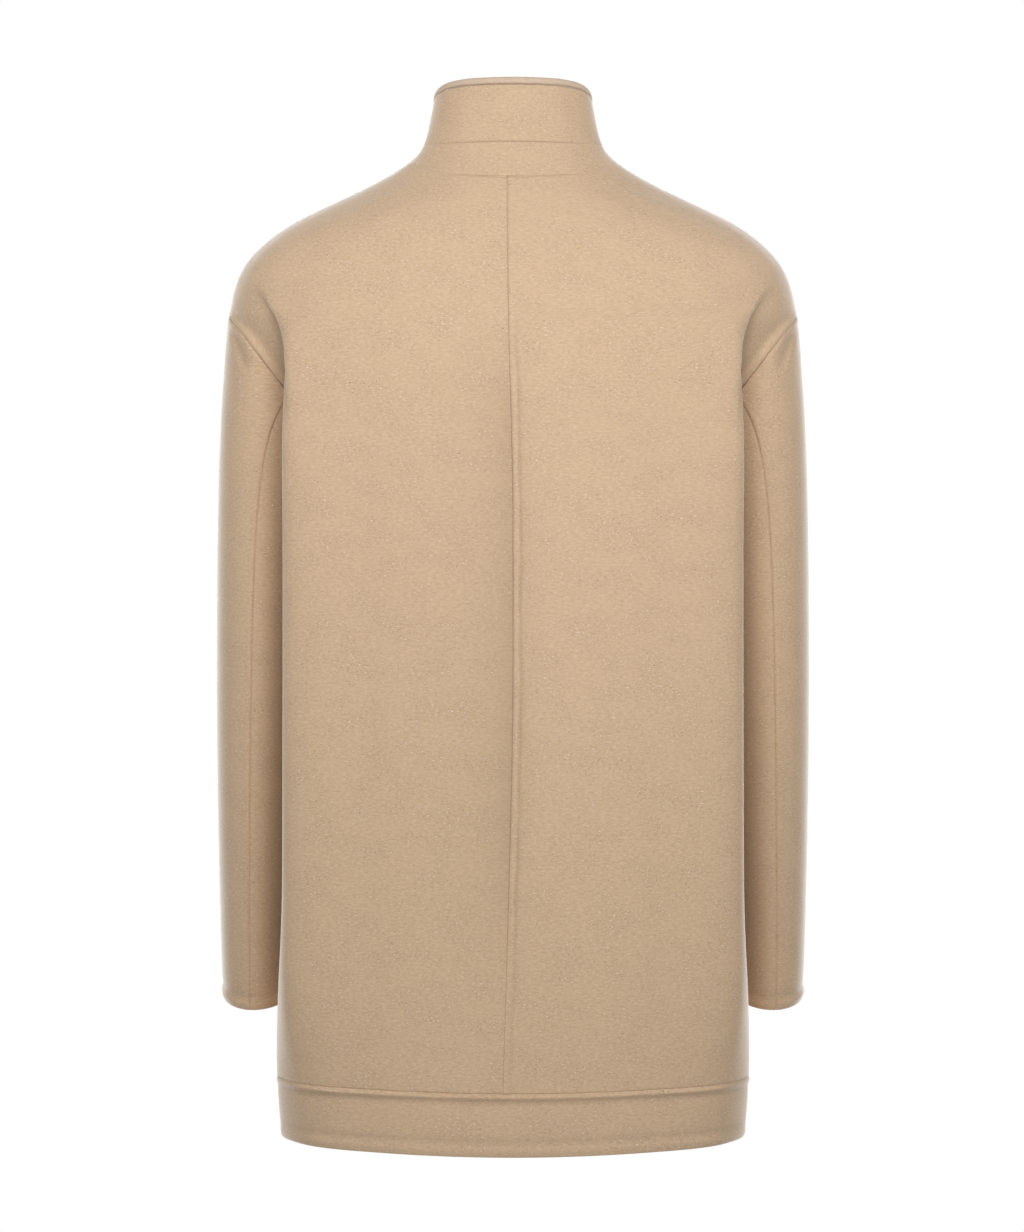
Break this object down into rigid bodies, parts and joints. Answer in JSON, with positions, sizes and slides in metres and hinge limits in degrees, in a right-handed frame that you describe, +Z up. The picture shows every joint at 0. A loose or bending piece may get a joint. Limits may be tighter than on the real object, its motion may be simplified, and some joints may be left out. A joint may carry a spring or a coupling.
{
  "type": "short coat",
  "caption": "Short straight wool coat with a funnel collar, dropped shoulders, two-piece sleeves and a hem band, hollow and filled out as worn, open at neck, hem and cuffs.",
  "frame": {"origin": "inside the neck, midway between the points where the shoulder seams meet the collar", "axes": "+Z up, -Y the way the front faces, +X the wearer's left"},
  "size_m": [0.4888, 0.2658, 0.8607],
  "materials": {
    "camel_wool": "matte brushed double-faced wool",
    "collar_binding": "smooth satin edging"
  },
  "bodies": {
    "root": {"back_left": "camel_wool", "back_right": "camel_wool", "front_left": "camel_wool", "front_right": "camel_wool", "sleeve_left_upper": "camel_wool", "sleeve_left_under": "camel_wool", "sleeve_right_upper": "camel_wool", "sleeve_right_under": "camel_wool", "collar_stand": "camel_wool", "collar": "camel_wool", "collar_binding": "collar_binding", "hem_band_back": "camel_wool", "hem_band_front_left": "camel_wool", "hem_band_front_right": "camel_wool"}
  },
  "joints": []
}
